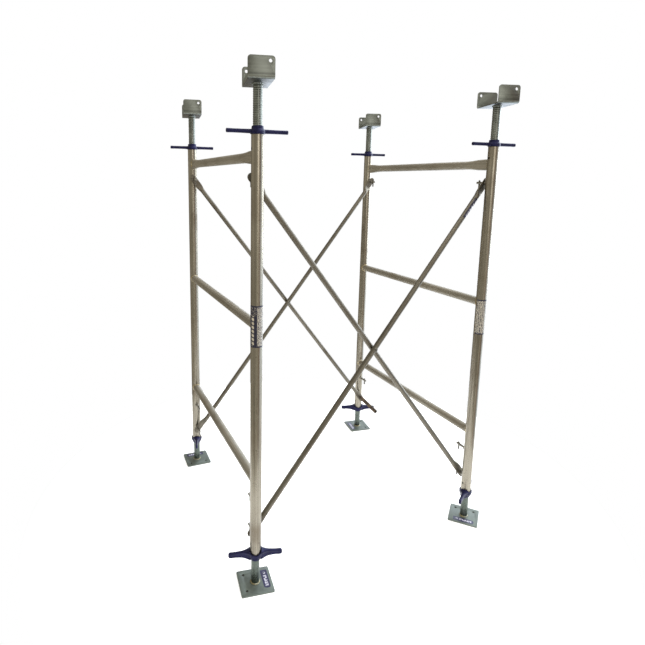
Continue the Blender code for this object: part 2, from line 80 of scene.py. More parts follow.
LEG_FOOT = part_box("leg_near_left")[0][2]
LEG_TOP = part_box("leg_near_left")[1][2]
LEG_LENGTH = LEG_TOP - LEG_FOOT
AXES = {corner: middle(f"leg_{corner}") for corner in CORNERS}
FRAME_WIDTH = AXES["far_left"].y - AXES["near_left"].y
BAY_LENGTH = AXES["near_right"].x - AXES["near_left"].x
TOWER_Y = (AXES["far_left"].y + AXES["near_left"].y) / 2
STUD_HEIGHTS = {level: middle(f"stud_near_left_{level}").z for level in LEVELS}
BRACE_LENGTH = math.hypot(BAY_LENGTH, STUD_HEIGHTS["upper"] - STUD_HEIGHTS["lower"])
BRACE_SLOPE = math.atan2(STUD_HEIGHTS["upper"] - STUD_HEIGHTS["lower"], BAY_LENGTH)
HEAD_HEIGHT = 0.080
HEAD_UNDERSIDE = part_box("head_jack_near_left")[1][2] - HEAD_HEIGHT
STUD_TIP = 0.0885                                     # a stud's end, out from its leg's axis
FLAT_END, SPOON_END = 0.038, 0.088                    # a brace's flat and its spoon, along from its stud hole
BRACE_AXES = {"rising": 0.034, "falling": 0.0602}     # how far a brace's axis lies in from its legs' axes
PLATE_SIDE = 0.150
PLATE_HOLE_REACH = PLATE_SIDE / 2 - 0.028             # from a base plate's middle to its holes, along X and Y
OVERLAP = 0.0006                                      # how far one welded piece runs into another


# ---------------------------------------------------------------- settings
def size_setting(name, description, metres):
    """A size that a user can change."""
    return FloatProperty(name=name, description=description, default=metres, unit="LENGTH")


def colour_setting(name, description, colour):
    """A colour that a user can change."""
    return FloatVectorProperty(name=name, description=description, default=colour, subtype="COLOR", size=3)


class ShoringSizes(bpy.types.PropertyGroup):
    """Sizes of the sections and fine details."""

    leg_radius: size_setting("Leg radius", "Outside radius of a leg", 0.0254)
    leg_wall: size_setting("Leg wall", "Wall of a leg", 0.004)
    rung_radius: size_setting("Rung radius", "Outside radius of a rung", 0.0211)
    rung_wall: size_setting("Rung wall", "Wall of a rung", 0.0035)
    brace_radius: size_setting("Brace radius", "Outside radius of a brace", 0.0127)
    brace_wall: size_setting("Brace wall", "Wall of a brace", 0.002)
    screw_radius: size_setting("Screw radius", "Radius over a jack's thread", 0.019)
    screw_bore: size_setting("Screw bore", "Radius of a jack screw's bore", 0.0135)
    thread_pitch: size_setting("Thread pitch", "Rise of the thread in one turn", 0.008467)
    head_thread_depth: size_setting("Head thread depth", "Depth of the upper screws' thread", 0.0011)
    base_thread_depth: size_setting("Base thread depth", "Depth of the lower screws' worn thread", 0.00035)
    weld_radius: size_setting("Weld radius", "Half the width of a weld bead", 0.0032)


class ShoringColours(bpy.types.PropertyGroup):
    """Base colours of the finishes."""

    aluminium: colour_setting("Aluminium", "Leg and rung tube", (0.29, 0.265, 0.215))
    brace: colour_setting("Brace", "Weathered brace tube", (0.165, 0.150, 0.120))
    base_zinc: colour_setting("Base zinc", "Plating of the lower jacks", (0.17, 0.20, 0.175))
    head_zinc: colour_setting("Head zinc", "Plating of the upper jacks", (0.140, 0.150, 0.134))
    nut: colour_setting("Nut paint", "Navy paint of the wing nuts", (0.0085, 0.0080, 0.032))
    sleeve: colour_setting("Sleeve", "Rusty brown of the spare sleeve", (0.075, 0.052, 0.032))


# ---------------------------------------------------------------- modelling helpers
def clear_selection():
    """Leave edit mode and select nothing."""
    if bpy.context.object and bpy.context.object.mode != "OBJECT":
        bpy.ops.object.mode_set(mode="OBJECT")
    bpy.ops.object.select_all(action="DESELECT")


def pick(piece):
    """Make one piece the only selected and the active one."""
    clear_selection()
    piece.select_set(True)
    bpy.context.view_layer.objects.active = piece


def discard(*pieces):
    """Remove templates that have been copied to their places."""
    for piece in pieces:
        bpy.data.objects.remove(piece)


def named(name):
    """Name the primitive that was just added, and settle its place in its mesh."""
    piece = bpy.context.object
    piece.name = name
    piece.data.name = name
    bpy.ops.object.transform_apply(location=True, rotation=True, scale=True)
    return piece


def apply_modifier(piece, kind, **settings):
    """Add one modifier to a piece and apply it."""
    modifier = piece.modifiers.new(kind.lower(), kind)
    for key, value in settings.items():
        setattr(modifier, key, value)
    pick(piece)
    bpy.ops.object.modifier_apply(modifier=modifier.name)


def combine(piece, tools, operation):
    """Cut a piece with tool pieces or unite it with them, and use them up."""
    for tool in tools:
        apply_modifier(piece, "BOOLEAN", operation=operation, solver="EXACT", object=tool)
    discard(*tools)


def bevel(piece, width, segments=2, angle=50):
    """Round the edges that are sharper than an angle."""
    apply_modifier(piece, "BEVEL", width=width, segments=segments, limit_method="ANGLE",
                   angle_limit=math.radians(angle), use_clamp_overlap=True)


def face_outwards(piece):
    """Turn the faces of a closed piece outwards."""
    pick(piece)
    bpy.ops.object.mode_set(mode="EDIT")
    bpy.ops.mesh.select_all(action="SELECT")
    bpy.ops.mesh.normals_make_consistent(inside=False)
    bpy.ops.object.mode_set(mode="OBJECT")


def fill_ends():
    """Close the open ends of the piece in edit mode."""
    bpy.ops.mesh.select_all(action="DESELECT")
    bpy.ops.mesh.select_non_manifold()
    bpy.ops.mesh.fill_holes(sides=0)


def is_along(axis, first, second):
    """Whether two points differ along one axis only."""
    return all(abs(first[other] - second[other]) < 1e-6 for other in range(3) if other != axis)


def round_edges(piece, chosen, width, segments):
    """Round the edges whose two ends a test picks out."""
    pick(piece)
    bpy.ops.object.mode_set(mode="EDIT")
    bpy.ops.mesh.select_mode(type="EDGE")
    bpy.ops.mesh.select_all(action="DESELECT")
    shape = bmesh.from_edit_mesh(piece.data)
    for line in shape.edges:
        if chosen(*(vert.co for vert in line.verts)):
            line.select = True
    bmesh.update_edit_mesh(piece.data)
    bpy.ops.mesh.bevel(offset=width, segments=segments, affect="EDGES")
    bpy.ops.object.mode_set(mode="OBJECT")


def cast(piece, voxel, passes):
    """Melt joined solids to one skin with soft corners, as a casting has."""
    apply_modifier(piece, "REMESH", mode="VOXEL", voxel_size=voxel)
    apply_modifier(piece, "SMOOTH", factor=0.5, iterations=passes)


def join(pieces):
    """Join pieces to the first one."""
    pick(pieces[0])
    for piece in pieces[1:]:
        piece.select_set(True)
    bpy.ops.object.join()
    return pieces[0]


def cylinder(name, radius, length, axis="Z", centre=(0, 0, 0), sides=32):
    """A plain round bar, for cutting or for a start."""
    clear_selection()
    turns = {"X": (0, math.pi / 2, 0), "Y": (math.pi / 2, 0, 0), "Z": (0, 0, 0)}
    bpy.ops.mesh.primitive_cylinder_add(
        vertices=sides, radius=radius, depth=length, location=centre, rotation=turns[axis])
    return named(name)


def box(name, size, centre=(0, 0, 0)):
    """A plain block, for cutting or for a start."""
    clear_selection()
    bpy.ops.mesh.primitive_cube_add(size=1, location=centre, scale=size)
    return named(name)


def grow(name, rings, ends):
    """Extrude a circle through rings of points, then "bridge" its two ends or "fill" each."""
    clear_selection()
    bpy.ops.mesh.primitive_circle_add(vertices=len(rings[0]), radius=1, fill_type="NOTHING")
    piece = named(name)
    bpy.ops.object.mode_set(mode="EDIT")
    bpy.ops.mesh.select_mode(type="VERT")
    bpy.ops.mesh.select_all(action="SELECT")
    shape = bmesh.from_edit_mesh(piece.data)
    shape.verts.ensure_lookup_table()
    order = {tuple(vert.co): index for index, vert in enumerate(shape.verts)}
    for number, points in enumerate(rings):
        if number:
            bpy.ops.mesh.extrude_region_move()
            shape = bmesh.from_edit_mesh(piece.data)
        following = {}
        for vert in shape.verts:
            if vert.select:
                index = order[tuple(vert.co)]
                vert.co = points[index]
                following[tuple(vert.co)] = index
        order = following
        bmesh.update_edit_mesh(piece.data)
    if ends == "bridge":
        bpy.ops.mesh.select_all(action="DESELECT")
        bpy.ops.mesh.select_non_manifold()
        bpy.ops.mesh.bridge_edge_loops()
    else:
        fill_ends()
    face_outwards(piece)
    return piece


def revolve(name, profile, sides=48, ends="bridge"):
    """A turned piece through (radius, height) points; "bridge" makes a hollow one."""
    angles = [2 * math.pi * step / sides for step in range(sides)]
    rings = [[(radius * math.cos(a), radius * math.sin(a), height) for a in angles]
             for radius, height in profile]
    return grow(name, rings, ends)


def power_of(value, power):
    """A number's power with the number's sign."""
    return math.copysign(abs(value) ** power, value)


def section(place, half_y, half_z, shift_y=0, shift_z=0, power=2, pinch=0, sides=40):
    """Points of a rounded section across X. A higher power is squarer; pinch hollows its flanks."""
    points = []
    for step in range(sides):
        angle = 2 * math.pi * (step + 0.5) / sides
        across, up = power_of(math.cos(angle), 2 / power), power_of(math.sin(angle), 2 / power)
        waist = 1 - pinch * math.exp(-(up / 0.55) ** 4)
        points.append((place, shift_y + half_y * across * waist, shift_z + half_z * up))
    return points


def hollow(name, sections, wall, sides=40):
    """A tube along X through sections given as keyword sets, with an even wall."""
    outer = [section(sides=sides, **one) for one in sections]
    inner = []
    for one in reversed(sections):
        inside = dict(one, half_y=one["half_y"] - wall, half_z=one["half_z"] - wall)
        inner.append(section(sides=sides, **inside))
    return grow(name, outer + inner, "bridge")


def eased(share):
    """Smooth step from 0 to 1."""
    share = min(max(share, 0), 1)
    return share * share * (3 - 2 * share)


def between(first, second, share):
    """A number part of the way from one to another."""
    return first + (second - first) * share


def weld_bead(name, outline, leg_radius, radius, ripples):
    """A rippled bead round a rung's end. outline gives (y, z) at an angle, and X runs to the leg."""
    clear_selection()
    bpy.ops.mesh.primitive_torus_add(
        major_segments=96, minor_segments=10, major_radius=1, minor_radius=0.1)
    piece = named(name)
    for vert in piece.data.vertices:
        angle = math.atan2(vert.co.y, vert.co.x)
        out = (math.hypot(vert.co.x, vert.co.y) - 1) / 0.1
        along = vert.co.z / 0.1
        swell = 1 + 0.16 * math.sin(ripples * angle) + 0.10 * math.sin(5 * angle + 1)
        y, z = outline(angle)
        size = math.hypot(y, z)
        step = radius * swell * out
        y, z = y + step * y / size, z + step * z / size
        saddle = math.sqrt(max(leg_radius ** 2 - min(abs(y), leg_radius) ** 2, 0))
        vert.co = (-saddle - radius * swell * along * 1.2, y, z)
    face_outwards(piece)
    return piece


def ring_weld(name, radius, height, way, size):
    """A rippled fillet weld round a screw, on a face at a height, above it or below it."""
    clear_selection()
    bpy.ops.mesh.primitive_torus_add(
        major_segments=96, minor_segments=12, major_radius=radius, minor_radius=size,
        location=(0, 0, height))
    piece = named(name)
    for vert in piece.data.vertices:
        angle = math.atan2(vert.co.y, vert.co.x)
        swell = 1 + 0.16 * math.sin(13 * angle) + 0.12 * math.sin(4 * angle + 2)
        out = math.hypot(vert.co.x, vert.co.y) - radius
        up = (vert.co.z - height) * 1.35 if (vert.co.z - height) * way > 0 else 0
        scale = (radius + out * swell) / (radius + out)
        vert.co = (vert.co.x * scale, vert.co.y * scale, height + up * swell - way * 0.0003)
    return piece


def dress(piece, materials, angle=35):
    """Shade a template, add any materials it still needs and store its own coordinates for the patterns."""
    pick(piece)
    bpy.ops.object.shade_smooth_by_angle(angle=math.radians(angle))
    for material in materials:
        piece.data.materials.append(material)
    own = piece.data.attributes.new("own", "FLOAT_VECTOR", "POINT")
    for index, vert in enumerate(piece.data.vertices):
        own.data[index].vector = vert.co


def put(template, name, matrix, body, node=None):
    """A copy of a template in its place, riding on its body and standing for its solid part."""
    piece = template.copy()
    piece.data = template.data.copy()
    piece.name = name
    piece.data.name = name
    piece.data.transform(matrix)
    bpy.context.scene.collection.objects.link(piece)
    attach(piece, body)
    if node:
        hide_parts(node)


def upright(place, turn=0):
    """The matrix of a piece that stands at a place, turned about Z in degrees."""
    return Matrix.Translation(place) @ Matrix.Rotation(math.radians(turn), 4, "Z")


def at_corner(corner, height):
    """The point on a leg's axis at a height."""
    return Vector((AXES[corner].x, AXES[corner].y, height))


# ---------------------------------------------------------------- finishes
def linear(red, green, blue):
    """A colour of three display values from 0 to 255 as linear light."""
    values = []
    for value in (red, green, blue):
        share = value / 255
        values.append(share / 12.92 if share <= 0.04045 else ((share + 0.055) / 1.055) ** 2.4)
    return tuple(values)


def add_node(tree, kind, inputs=None, **settings):
    """Add a node, with its settings and its inputs as values or as links."""
    node = tree.nodes.new(kind)
    for key, value in settings.items():
        setattr(node, key, value)
    for key, value in (inputs or {}).items():
        if isinstance(value, bpy.types.NodeSocket):
            tree.links.new(value, node.inputs[key])
        else:
            node.inputs[key].default_value = value
    return node


class Finish:
    """Builds the nodes of one material."""

    def __init__(self, name, metallic, roughness):
        self.material = bpy.data.materials.new(name)
        self.material.use_nodes = True
        self.tree = self.material.node_tree
        self.shader = self.tree.nodes["Principled BSDF"]
        self.shader.inputs["Metallic"].default_value = metallic
        self.shader.inputs["Roughness"].default_value = roughness
        self.place = self.add("ShaderNodeTexCoord").outputs["Object"]
        self.own = self.add("ShaderNodeAttribute", attribute_name="own").outputs["Vector"]

    def add(self, kind, inputs=None, **settings):
        """Add a node to the material."""
        return add_node(self.tree, kind, inputs, **settings)

    def noise(self, scale, detail, stretch=None):
        """Noise from 0 to 1. Where it is stretched, it follows the piece's own coordinates."""
        mapping = self.add("ShaderNodeMapping", {
            "Vector": self.own if stretch else self.place, "Scale": stretch or (1, 1, 1)})
        return self.add("ShaderNodeTexNoise", {
            "Vector": mapping.outputs["Vector"], "Scale": scale, "Detail": detail,
            "Roughness": 0.55}).outputs["Fac"]

    def range(self, value, low, high, first=0.0, last=1.0):
        """Map a stretch of values smoothly to another."""
        return self.add("ShaderNodeMapRange", {
            "Value": value, "From Min": low, "From Max": high, "To Min": first, "To Max": last},
            interpolation_type="SMOOTHSTEP").outputs["Result"]

    def math(self, operation, first, second=0.0):
        """One sum on two numbers."""
        return self.add("ShaderNodeMath", {0: first, 1: second}, operation=operation).outputs[0]

    def times(self, first, second):
        """The product of two numbers."""
        return self.math("MULTIPLY", first, second)

    def distance(self, x, y):
        """How far a point lies from an axis."""
        squares = self.math("ADD", self.math("POWER", x, 2), self.math("POWER", y, 2))
        return self.math("POWER", squares, 0.5)

    def band(self, value, start, full, fading, end):
        """Rise from 0 to 1 over one stretch of values, and fall again over a later one."""
        return self.times(self.range(value, start, full), self.range(value, fading, end, 1, 0))

    def mix(self, share, first, second):
        """Mix two colours."""
        colours = {}
        for key, value in ((6, first), (7, second)):
            is_link = isinstance(value, bpy.types.NodeSocket)
            colours[key] = value if is_link else (*value, 1)
        return self.add("ShaderNodeMix", {0: share, **colours}, data_type="RGBA").outputs[2]

    def shades(self, value, low, high, colour, darker, lighter):
        """Go from a darker to a lighter shade of a colour."""
        return self.mix(self.range(value, low, high), scaled(colour, darker), scaled(colour, lighter))

    def over(self, tone, value, low, high, share, colour):
        """Lay a share of a colour over a tone where a value is high."""
        return self.mix(self.range(value, low, high, 0, share), tone, colour)

    def split(self):
        """The piece's own three coordinates."""
        return self.add("ShaderNodeSeparateXYZ", {"Vector": self.own}).outputs

    def colour(self, value):
        """Link the base colour."""
        self.tree.links.new(value, self.shader.inputs["Base Color"])

    def roughness(self, value, low, high):
        """Spread the roughness between two values."""
        self.tree.links.new(self.range(value, 0.3, 0.7, low, high), self.shader.inputs["Roughness"])

    def complete(self, tone, wear, low, high, relief, strength, distance):
        """Link the colour, the roughness and fine relief, and give back the material."""
        self.colour(tone)
        self.roughness(wear, low, high)
        node = self.add("ShaderNodeBump", {"Strength": strength, "Distance": distance, "Height": relief})
        self.tree.links.new(node.outputs["Normal"], self.shader.inputs["Normal"])
        return self.material


def scaled(colour, factor):
    """A lighter or darker colour."""
    return tuple(min(channel * factor, 1) for channel in colour)


def tube_finish(name, colour, stretch, stain, metallic, low, high):
    """Drawn tube: streaks along its length, tarnish in patches, and small dark marks."""
    finish = Finish(name, metallic, low)
    streaks = finish.noise(210, 5, stretch)
    patches = finish.noise(5.5, 5)
    tone = finish.shades(streaks, 0.35, 0.68, colour, 0.80, 1.15)
    tone = finish.over(tone, finish.noise(75, 2, stretch), 0.48, 0.62, 0.60, scaled(colour, 0.58))
    tone = finish.over(tone, patches, 0.46, 0.72, 0.6, stain)
    tone = finish.over(tone, finish.noise(1.7, 2), 0.4, 0.65, 0.35, scaled(colour, 1.3))
    tone = finish.over(tone, finish.noise(120, 3), 0.66, 0.72, 0.75, linear(70, 60, 50))
    wear = finish.math("ADD", finish.times(streaks, 0.6), finish.times(patches, 0.4))
    return finish.complete(tone, wear, low, high, streaks, 0.06, 0.0005)


def paint_inner_shade(piece, centre, name):
    """Give the faces that look inwards to a tube's centre line a dark, dull finish: painted shade for the
    inside of the tube.
    """
    finish = Finish(name, 0.2, 0.8)
    finish.colour(finish.mix(finish.noise(90, 3), (0.010, 0.009, 0.008), (0.030, 0.026, 0.022)))
    piece.data.materials.append(finish.material)
    for face in piece.data.polygons:
        out = face.center - centre(face.center)
        if out.length > 0.0005 and face.normal.dot(out.normalized()) < -0.5:
            face.material_index = 1


def zinc_finish(name, colour):
    """Dull zinc plate: a soft spangle, cloudy patches and faint scuffs."""
    finish = Finish(name, 0.40, 0.46)
    spangle = finish.add("ShaderNodeTexVoronoi", {"Vector": finish.place, "Scale": 130.0}).outputs["Color"]
    grey = finish.add("ShaderNodeRGBToBW", {"Color": spangle}).outputs["Val"]
    clouds = finish.noise(16, 5)
    tone = finish.shades(clouds, 0.35, 0.65, colour, 0.82, 1.18)
    tone = finish.mix(finish.times(grey, 0.22), tone, scaled(colour, 1.35))
    tone = finish.over(tone, finish.noise(70, 4, (1, 0.15, 1)), 0.62, 0.74, 0.5, scaled(colour, 0.6))
    return finish.complete(tone, clouds, 0.46, 0.62, finish.noise(240, 3), 0.10, 0.0004)


def bent_finish(name, colour):
    """Zinc plate on a bent strap: painted highlights on the bends, a painted dark reflection band above them
    and painted shade on the underside.
    """
    finish = Finish(name, 0.85, 0.34)
    _, y, z = finish.split()
    out = finish.math("ABSOLUTE", y)
    clouds = finish.noise(16, 5)
    tone = finish.shades(clouds, 0.35, 0.65, colour, 0.84, 1.16)
    tone = finish.over(tone, finish.noise(150, 4, (0.06, 1, 1)), 0.40, 0.66, 0.5, scaled(colour, 1.30))
    # Painted dark reflection band on the flanges' outer faces, just above the bends.
    line = finish.times(finish.band(z, 0.0115, 0.0150, 0.0175, 0.0235), finish.range(out, 0.0990, 0.0998))
    tone = finish.mix(finish.times(line, 0.55), tone, scaled(colour, 0.42))
    # Painted highlight along the outside of the bends.
    painted_bend_highlight = finish.times(finish.band(z, 0.0010, 0.0045, 0.0085, 0.0120), finish.range(out, 0.0900, 0.0930))
    tone = finish.mix(finish.times(painted_bend_highlight, 0.60), tone, scaled(colour, 1.75))
    # Painted shade, dark and bluish, on the underside.
    painted_shade = (colour[0] * 0.28, colour[1] * 0.31, colour[2] * 0.38)
    tone = finish.mix(finish.range(z, 0.0004, 0.0016, 0.8, 0), tone, painted_shade)
    return finish.complete(tone, clouds, 0.30, 0.44, finish.noise(240, 3), 0.10, 0.0004)


def thread_finish(name, colour, radius, depth, painted_shade):
    """Zinc plate on a thread, with painted shade darkening its grooves."""
    finish = Finish(name, 0.9, 0.3)
    x, y, _ = finish.split()
    # Painted shade: the colour darkens towards the root of the thread.
    painted_groove_shade = finish.range(finish.distance(x, y), radius - depth * 1.02, radius - depth * 0.35, painted_shade, 0)
    clouds = finish.noise(28, 4)
    tone = finish.shades(clouds, 0.35, 0.65, colour, 0.85, 1.2)
    tone = finish.mix(painted_groove_shade, tone, scaled(colour, 0.16))
    return finish.complete(tone, clouds, 0.22, 0.38, finish.noise(260, 3), 0.12, 0.0004)


def weld_finish(name, colour, tint):
    """Weld metal: bright ripples with patches of heat colour."""
    finish = Finish(name, 0.9, 0.34)
    ripples = finish.noise(260, 3)
    tone = finish.mix(finish.range(finish.noise(60, 3), 0.38, 0.62), colour, tint)
    tone = finish.over(tone, ripples, 0.58, 0.75, 0.7, linear(80, 74, 60))
    return finish.complete(tone, ripples, 0.24, 0.5, ripples, 0.5, 0.0008)


def paint_finish(name, colour):
    """Navy paint on a casting: slight orange peel, rubbed lighter in places."""
    finish = Finish(name, 0.0, 0.42)
    finish.shader.inputs["Specular IOR Level"].default_value = 0.32
    finish.shader.inputs["Specular Tint"].default_value = (0.45, 0.48, 1.0, 1)
    clouds = finish.noise(34, 4)
    tone = finish.shades(clouds, 0.35, 0.68, colour, 0.7, 1.45)
    tone = finish.over(tone, finish.noise(150, 4, (1, 0.3, 1)), 0.70, 0.77, 0.5, linear(104, 106, 160))
    return finish.complete(tone, clouds, 0.34, 0.50, finish.noise(420, 3), 0.22, 0.0005)


def steel_finish(name, colour, low=0.34, high=0.55):
    """Plain steel: dull, with dark patches and a little rust."""
    finish = Finish(name, 0.85, low)
    patches = finish.noise(70, 5)
    tone = finish.shades(patches, 0.38, 0.66, colour, 0.6, 1.35)
    tone = finish.over(tone, finish.noise(38, 5), 0.60, 0.74, 0.6, linear(92, 66, 44))
    return finish.complete(tone, patches, low, high, finish.noise(300, 3), 0.2, 0.0005)


def rust_finish(name, colour):
    """Old brown steel: rust bloom over dark scale."""
    finish = Finish(name, 0.25, 0.62)
    grain = finish.noise(330, 4)
    tone = finish.shades(finish.noise(46, 6), 0.40, 0.64, colour, 0.5, 1.9)
    tone = finish.over(tone, grain, 0.58, 0.75, 0.4, linear(126, 92, 60))
    return finish.complete(tone, grain, 0.5, 0.78, grain, 0.35, 0.0006)


def label_finish(name, half_across, half_along, split, ground, field, mark):
    """A printed label: a dark column with pale bars beside a pale column with small dark marks."""
    finish = Finish(name, 0.05, 0.42)
    x, y, _ = finish.split()
    rows = finish.range(finish.math("PINGPONG", finish.math("SUBTRACT", x, split), 0.0042), 0.0009, 0.0015)
    inked = finish.range(finish.noise(190, 1, (1, 1.3, 0)), 0.47, 0.50, 0, 0.95)
    pale = finish.mix(finish.times(inked, rows), ground, field)
    off_middle = finish.math("ABSOLUTE", finish.math("SUBTRACT", x, (split - half_across) / 2))
    slant = finish.math("ADD", y, finish.times(x, 0.35))
    below = finish.range(y, half_along * 0.50, half_along * 0.54, 1, 0)
    bars = finish.times(finish.range(finish.math("PINGPONG", slant, 0.0085), 0.0026, 0.0032),
                        finish.range(off_middle, 0.0052, 0.0060, 1, 0))
    dim = finish.range(finish.noise(170, 2, (1, 1, 0)), 0.48, 0.6, 0, 0.35)
    spot = finish.times(dim, finish.math("SUBTRACT", 1.0, below))
    dark = finish.mix(finish.math("MAXIMUM", finish.times(bars, below), spot), field, mark)
    tone = finish.mix(finish.range(x, split - 0.0004, split + 0.0004), dark, pale)
    ends = finish.range(finish.math("ABSOLUTE", y), half_along - 0.0068, half_along - 0.0058)
    tone = finish.mix(ends, tone, field)
    fade = finish.noise(60, 3)
    finish.colour(finish.over(tone, fade, 0.35, 0.7, 0.3, scaled(field, 2.2)))
    finish.roughness(fade, 0.34, 0.5)
    return finish.material


def pill_finish(name, half_along, half_across, ground, mark):
    """A navy plate label with a plain pale stripe and a pale spot."""
    finish = Finish(name, 0.0, 0.35)
    x, y, _ = finish.split()
    wobble = finish.noise(150, 2, (1, 0.5, 0))
    inside = finish.range(finish.math("ABSOLUTE", y), half_across * 0.42, half_across * 0.5, 1, 0)
    stripe = finish.band(x, -half_along * 0.42, -half_along * 0.38, half_along * 0.78, half_along * 0.84)
    off_spot = finish.distance(finish.math("ADD", x, half_along * 0.66), y)
    spot = finish.range(off_spot, half_across * 0.38, half_across * 0.46, 1, 0)
    pale = finish.math("MAXIMUM", finish.times(inside, stripe), spot)
    pale = finish.times(pale, finish.range(wobble, 0.44, 0.52))
    tone = finish.shades(finish.noise(40, 3), 0.3, 0.7, ground, 1, 1.6)
    finish.colour(finish.mix(pale, tone, mark))
    finish.roughness(wobble, 0.3, 0.45)
    return finish.material


# ---------------------------------------------------------------- pieces
class SHORING_OT_legs(bpy.types.Operator):
    """Four legs of round tube with rounded rims and cross holes"""

    bl_idname = "shoring.legs"
    bl_label = "Legs"

    def execute(self, context):
        sizes = context.scene.shoring_sizes
        outer = sizes.leg_radius
        inner = outer - sizes.leg_wall
        rim = 0.0007
        low, high, steps = rim, LEG_LENGTH - rim, 12
        profile = [(outer - rim, 0), (outer, low)]
        profile += [(outer, LEG_LENGTH * step / steps) for step in range(1, steps)]
        profile += [(outer, high), (outer - rim, LEG_LENGTH), (inner + rim, LEG_LENGTH),
                    (inner, high), (inner, low), (inner + rim, 0)]
        leg = revolve("leg", profile, 64)
        inset = 0.055
        holes = [cylinder("hole", 0.0055, 3 * outer, "X", (0, 0, height), 24)
                 for height in (inset, LEG_LENGTH - inset)]
        combine(leg, holes, "DIFFERENCE")
        colour = tuple(context.scene.shoring_colours.aluminium)
        dress(leg, [tube_finish("leg_tube", colour, (1, 1, 0.012), linear(96, 84, 68), 0.92, 0.20, 0.36)])
        # Painted shade on the leg's inner faces and cross-hole walls.
        paint_inner_shade(leg, lambda point: Vector((0, 0, point.z)), "leg_inner_painted_shade")
        for corner in CORNERS:
            put(leg, f"leg_tube_{corner}", upright(at_corner(corner, LEG_FOOT)), "tower",
                f"leg_{corner}")
        discard(leg)
        return {"FINISHED"}


def rung_section(distance, radius):
    """The section of a top rung at a distance from the leg's axis, as half width and half height."""
    share = eased((distance - 0.040) / 0.115)
    return between(0.011, radius, share), between(0.028, radius, share), between(3.2, 2, share)


class SHORING_OT_rungs(bpy.types.Operator):
    """Round rungs, crimped top rungs and the weld beads at their ends"""

    bl_idname = "shoring.rungs"
    bl_label = "Rungs and their welds"

    def execute(self, context):
        sizes = context.scene.shoring_sizes
        colour = tuple(context.scene.shoring_colours.aluminium)
        radius = sizes.rung_radius
        half = FRAME_WIDTH / 2
        tube = tube_finish("rung_tube", scaled(colour, 0.95), (0.012, 1, 1), linear(104, 94, 76),
                           0.45, 0.46, 0.64)
        weld = weld_finish("rung_weld", linear(196, 190, 172), linear(164, 146, 104))
        steps = 24
        places = [half * (step / steps) ** 0.6 for step in range(steps + 1)]
        stations = sorted({round(way * (half - place), 6) for place in places for way in (-1, 1)})
        plain = [dict(place=place, half_y=radius, half_z=radius) for place in stations]
        crimped = []
        for place in stations:
            wide, high, power = rung_section(half - abs(place), radius)
            crimped.append(dict(place=place, half_y=wide, half_z=high, power=power,
                                pinch=0.22 * (1 - eased((half - abs(place) - 0.05) / 0.12))))
        shapes = {"plain": hollow("rung", plain, sizes.rung_wall),
                  "crimped": hollow("top_rung", crimped, sizes.rung_wall, 48)}
        for shape in shapes.values():
            legs = [cylinder("leg_cut", sizes.leg_radius - OVERLAP, 0.2, "Z", (way * half, 0, 0), 64)
                    for way in (-1, 1)]
            combine(shape, legs, "DIFFERENCE")
            dress(shape, [tube])
        outlines = {
            "plain": lambda angle: (radius * math.cos(angle), radius * math.sin(angle)),
            "crimped": lambda angle: (0.0112 * math.cos(angle), 0.0282 * math.sin(angle)),
        }
        beads = {kind: weld_bead("rung_weld", outline, sizes.leg_radius, sizes.weld_radius, 21)
                 for kind, outline in outlines.items()}
        for bead in beads.values():
            dress(bead, [weld], 60)
        for level, kind in (("top", "crimped"), ("middle", "plain"), ("low", "plain")):
            for side in SIDES:
                node = f"{level}_rung_{side}"
                centre = middle(node)
                put(shapes[kind], f"{level}_rung_tube_{side}", upright(centre, 90), "tower",
                    node)
                for end, turn in (("far", 90), ("near", -90)):
                    reach = Vector((0, half if end == "far" else -half, 0))
                    put(beads[kind], f"{level}_rung_weld_{side}_{end}", upright(centre + reach, turn),
                        "tower")
        discard(*shapes.values(), *beads.values())
        return {"FINISHED"}


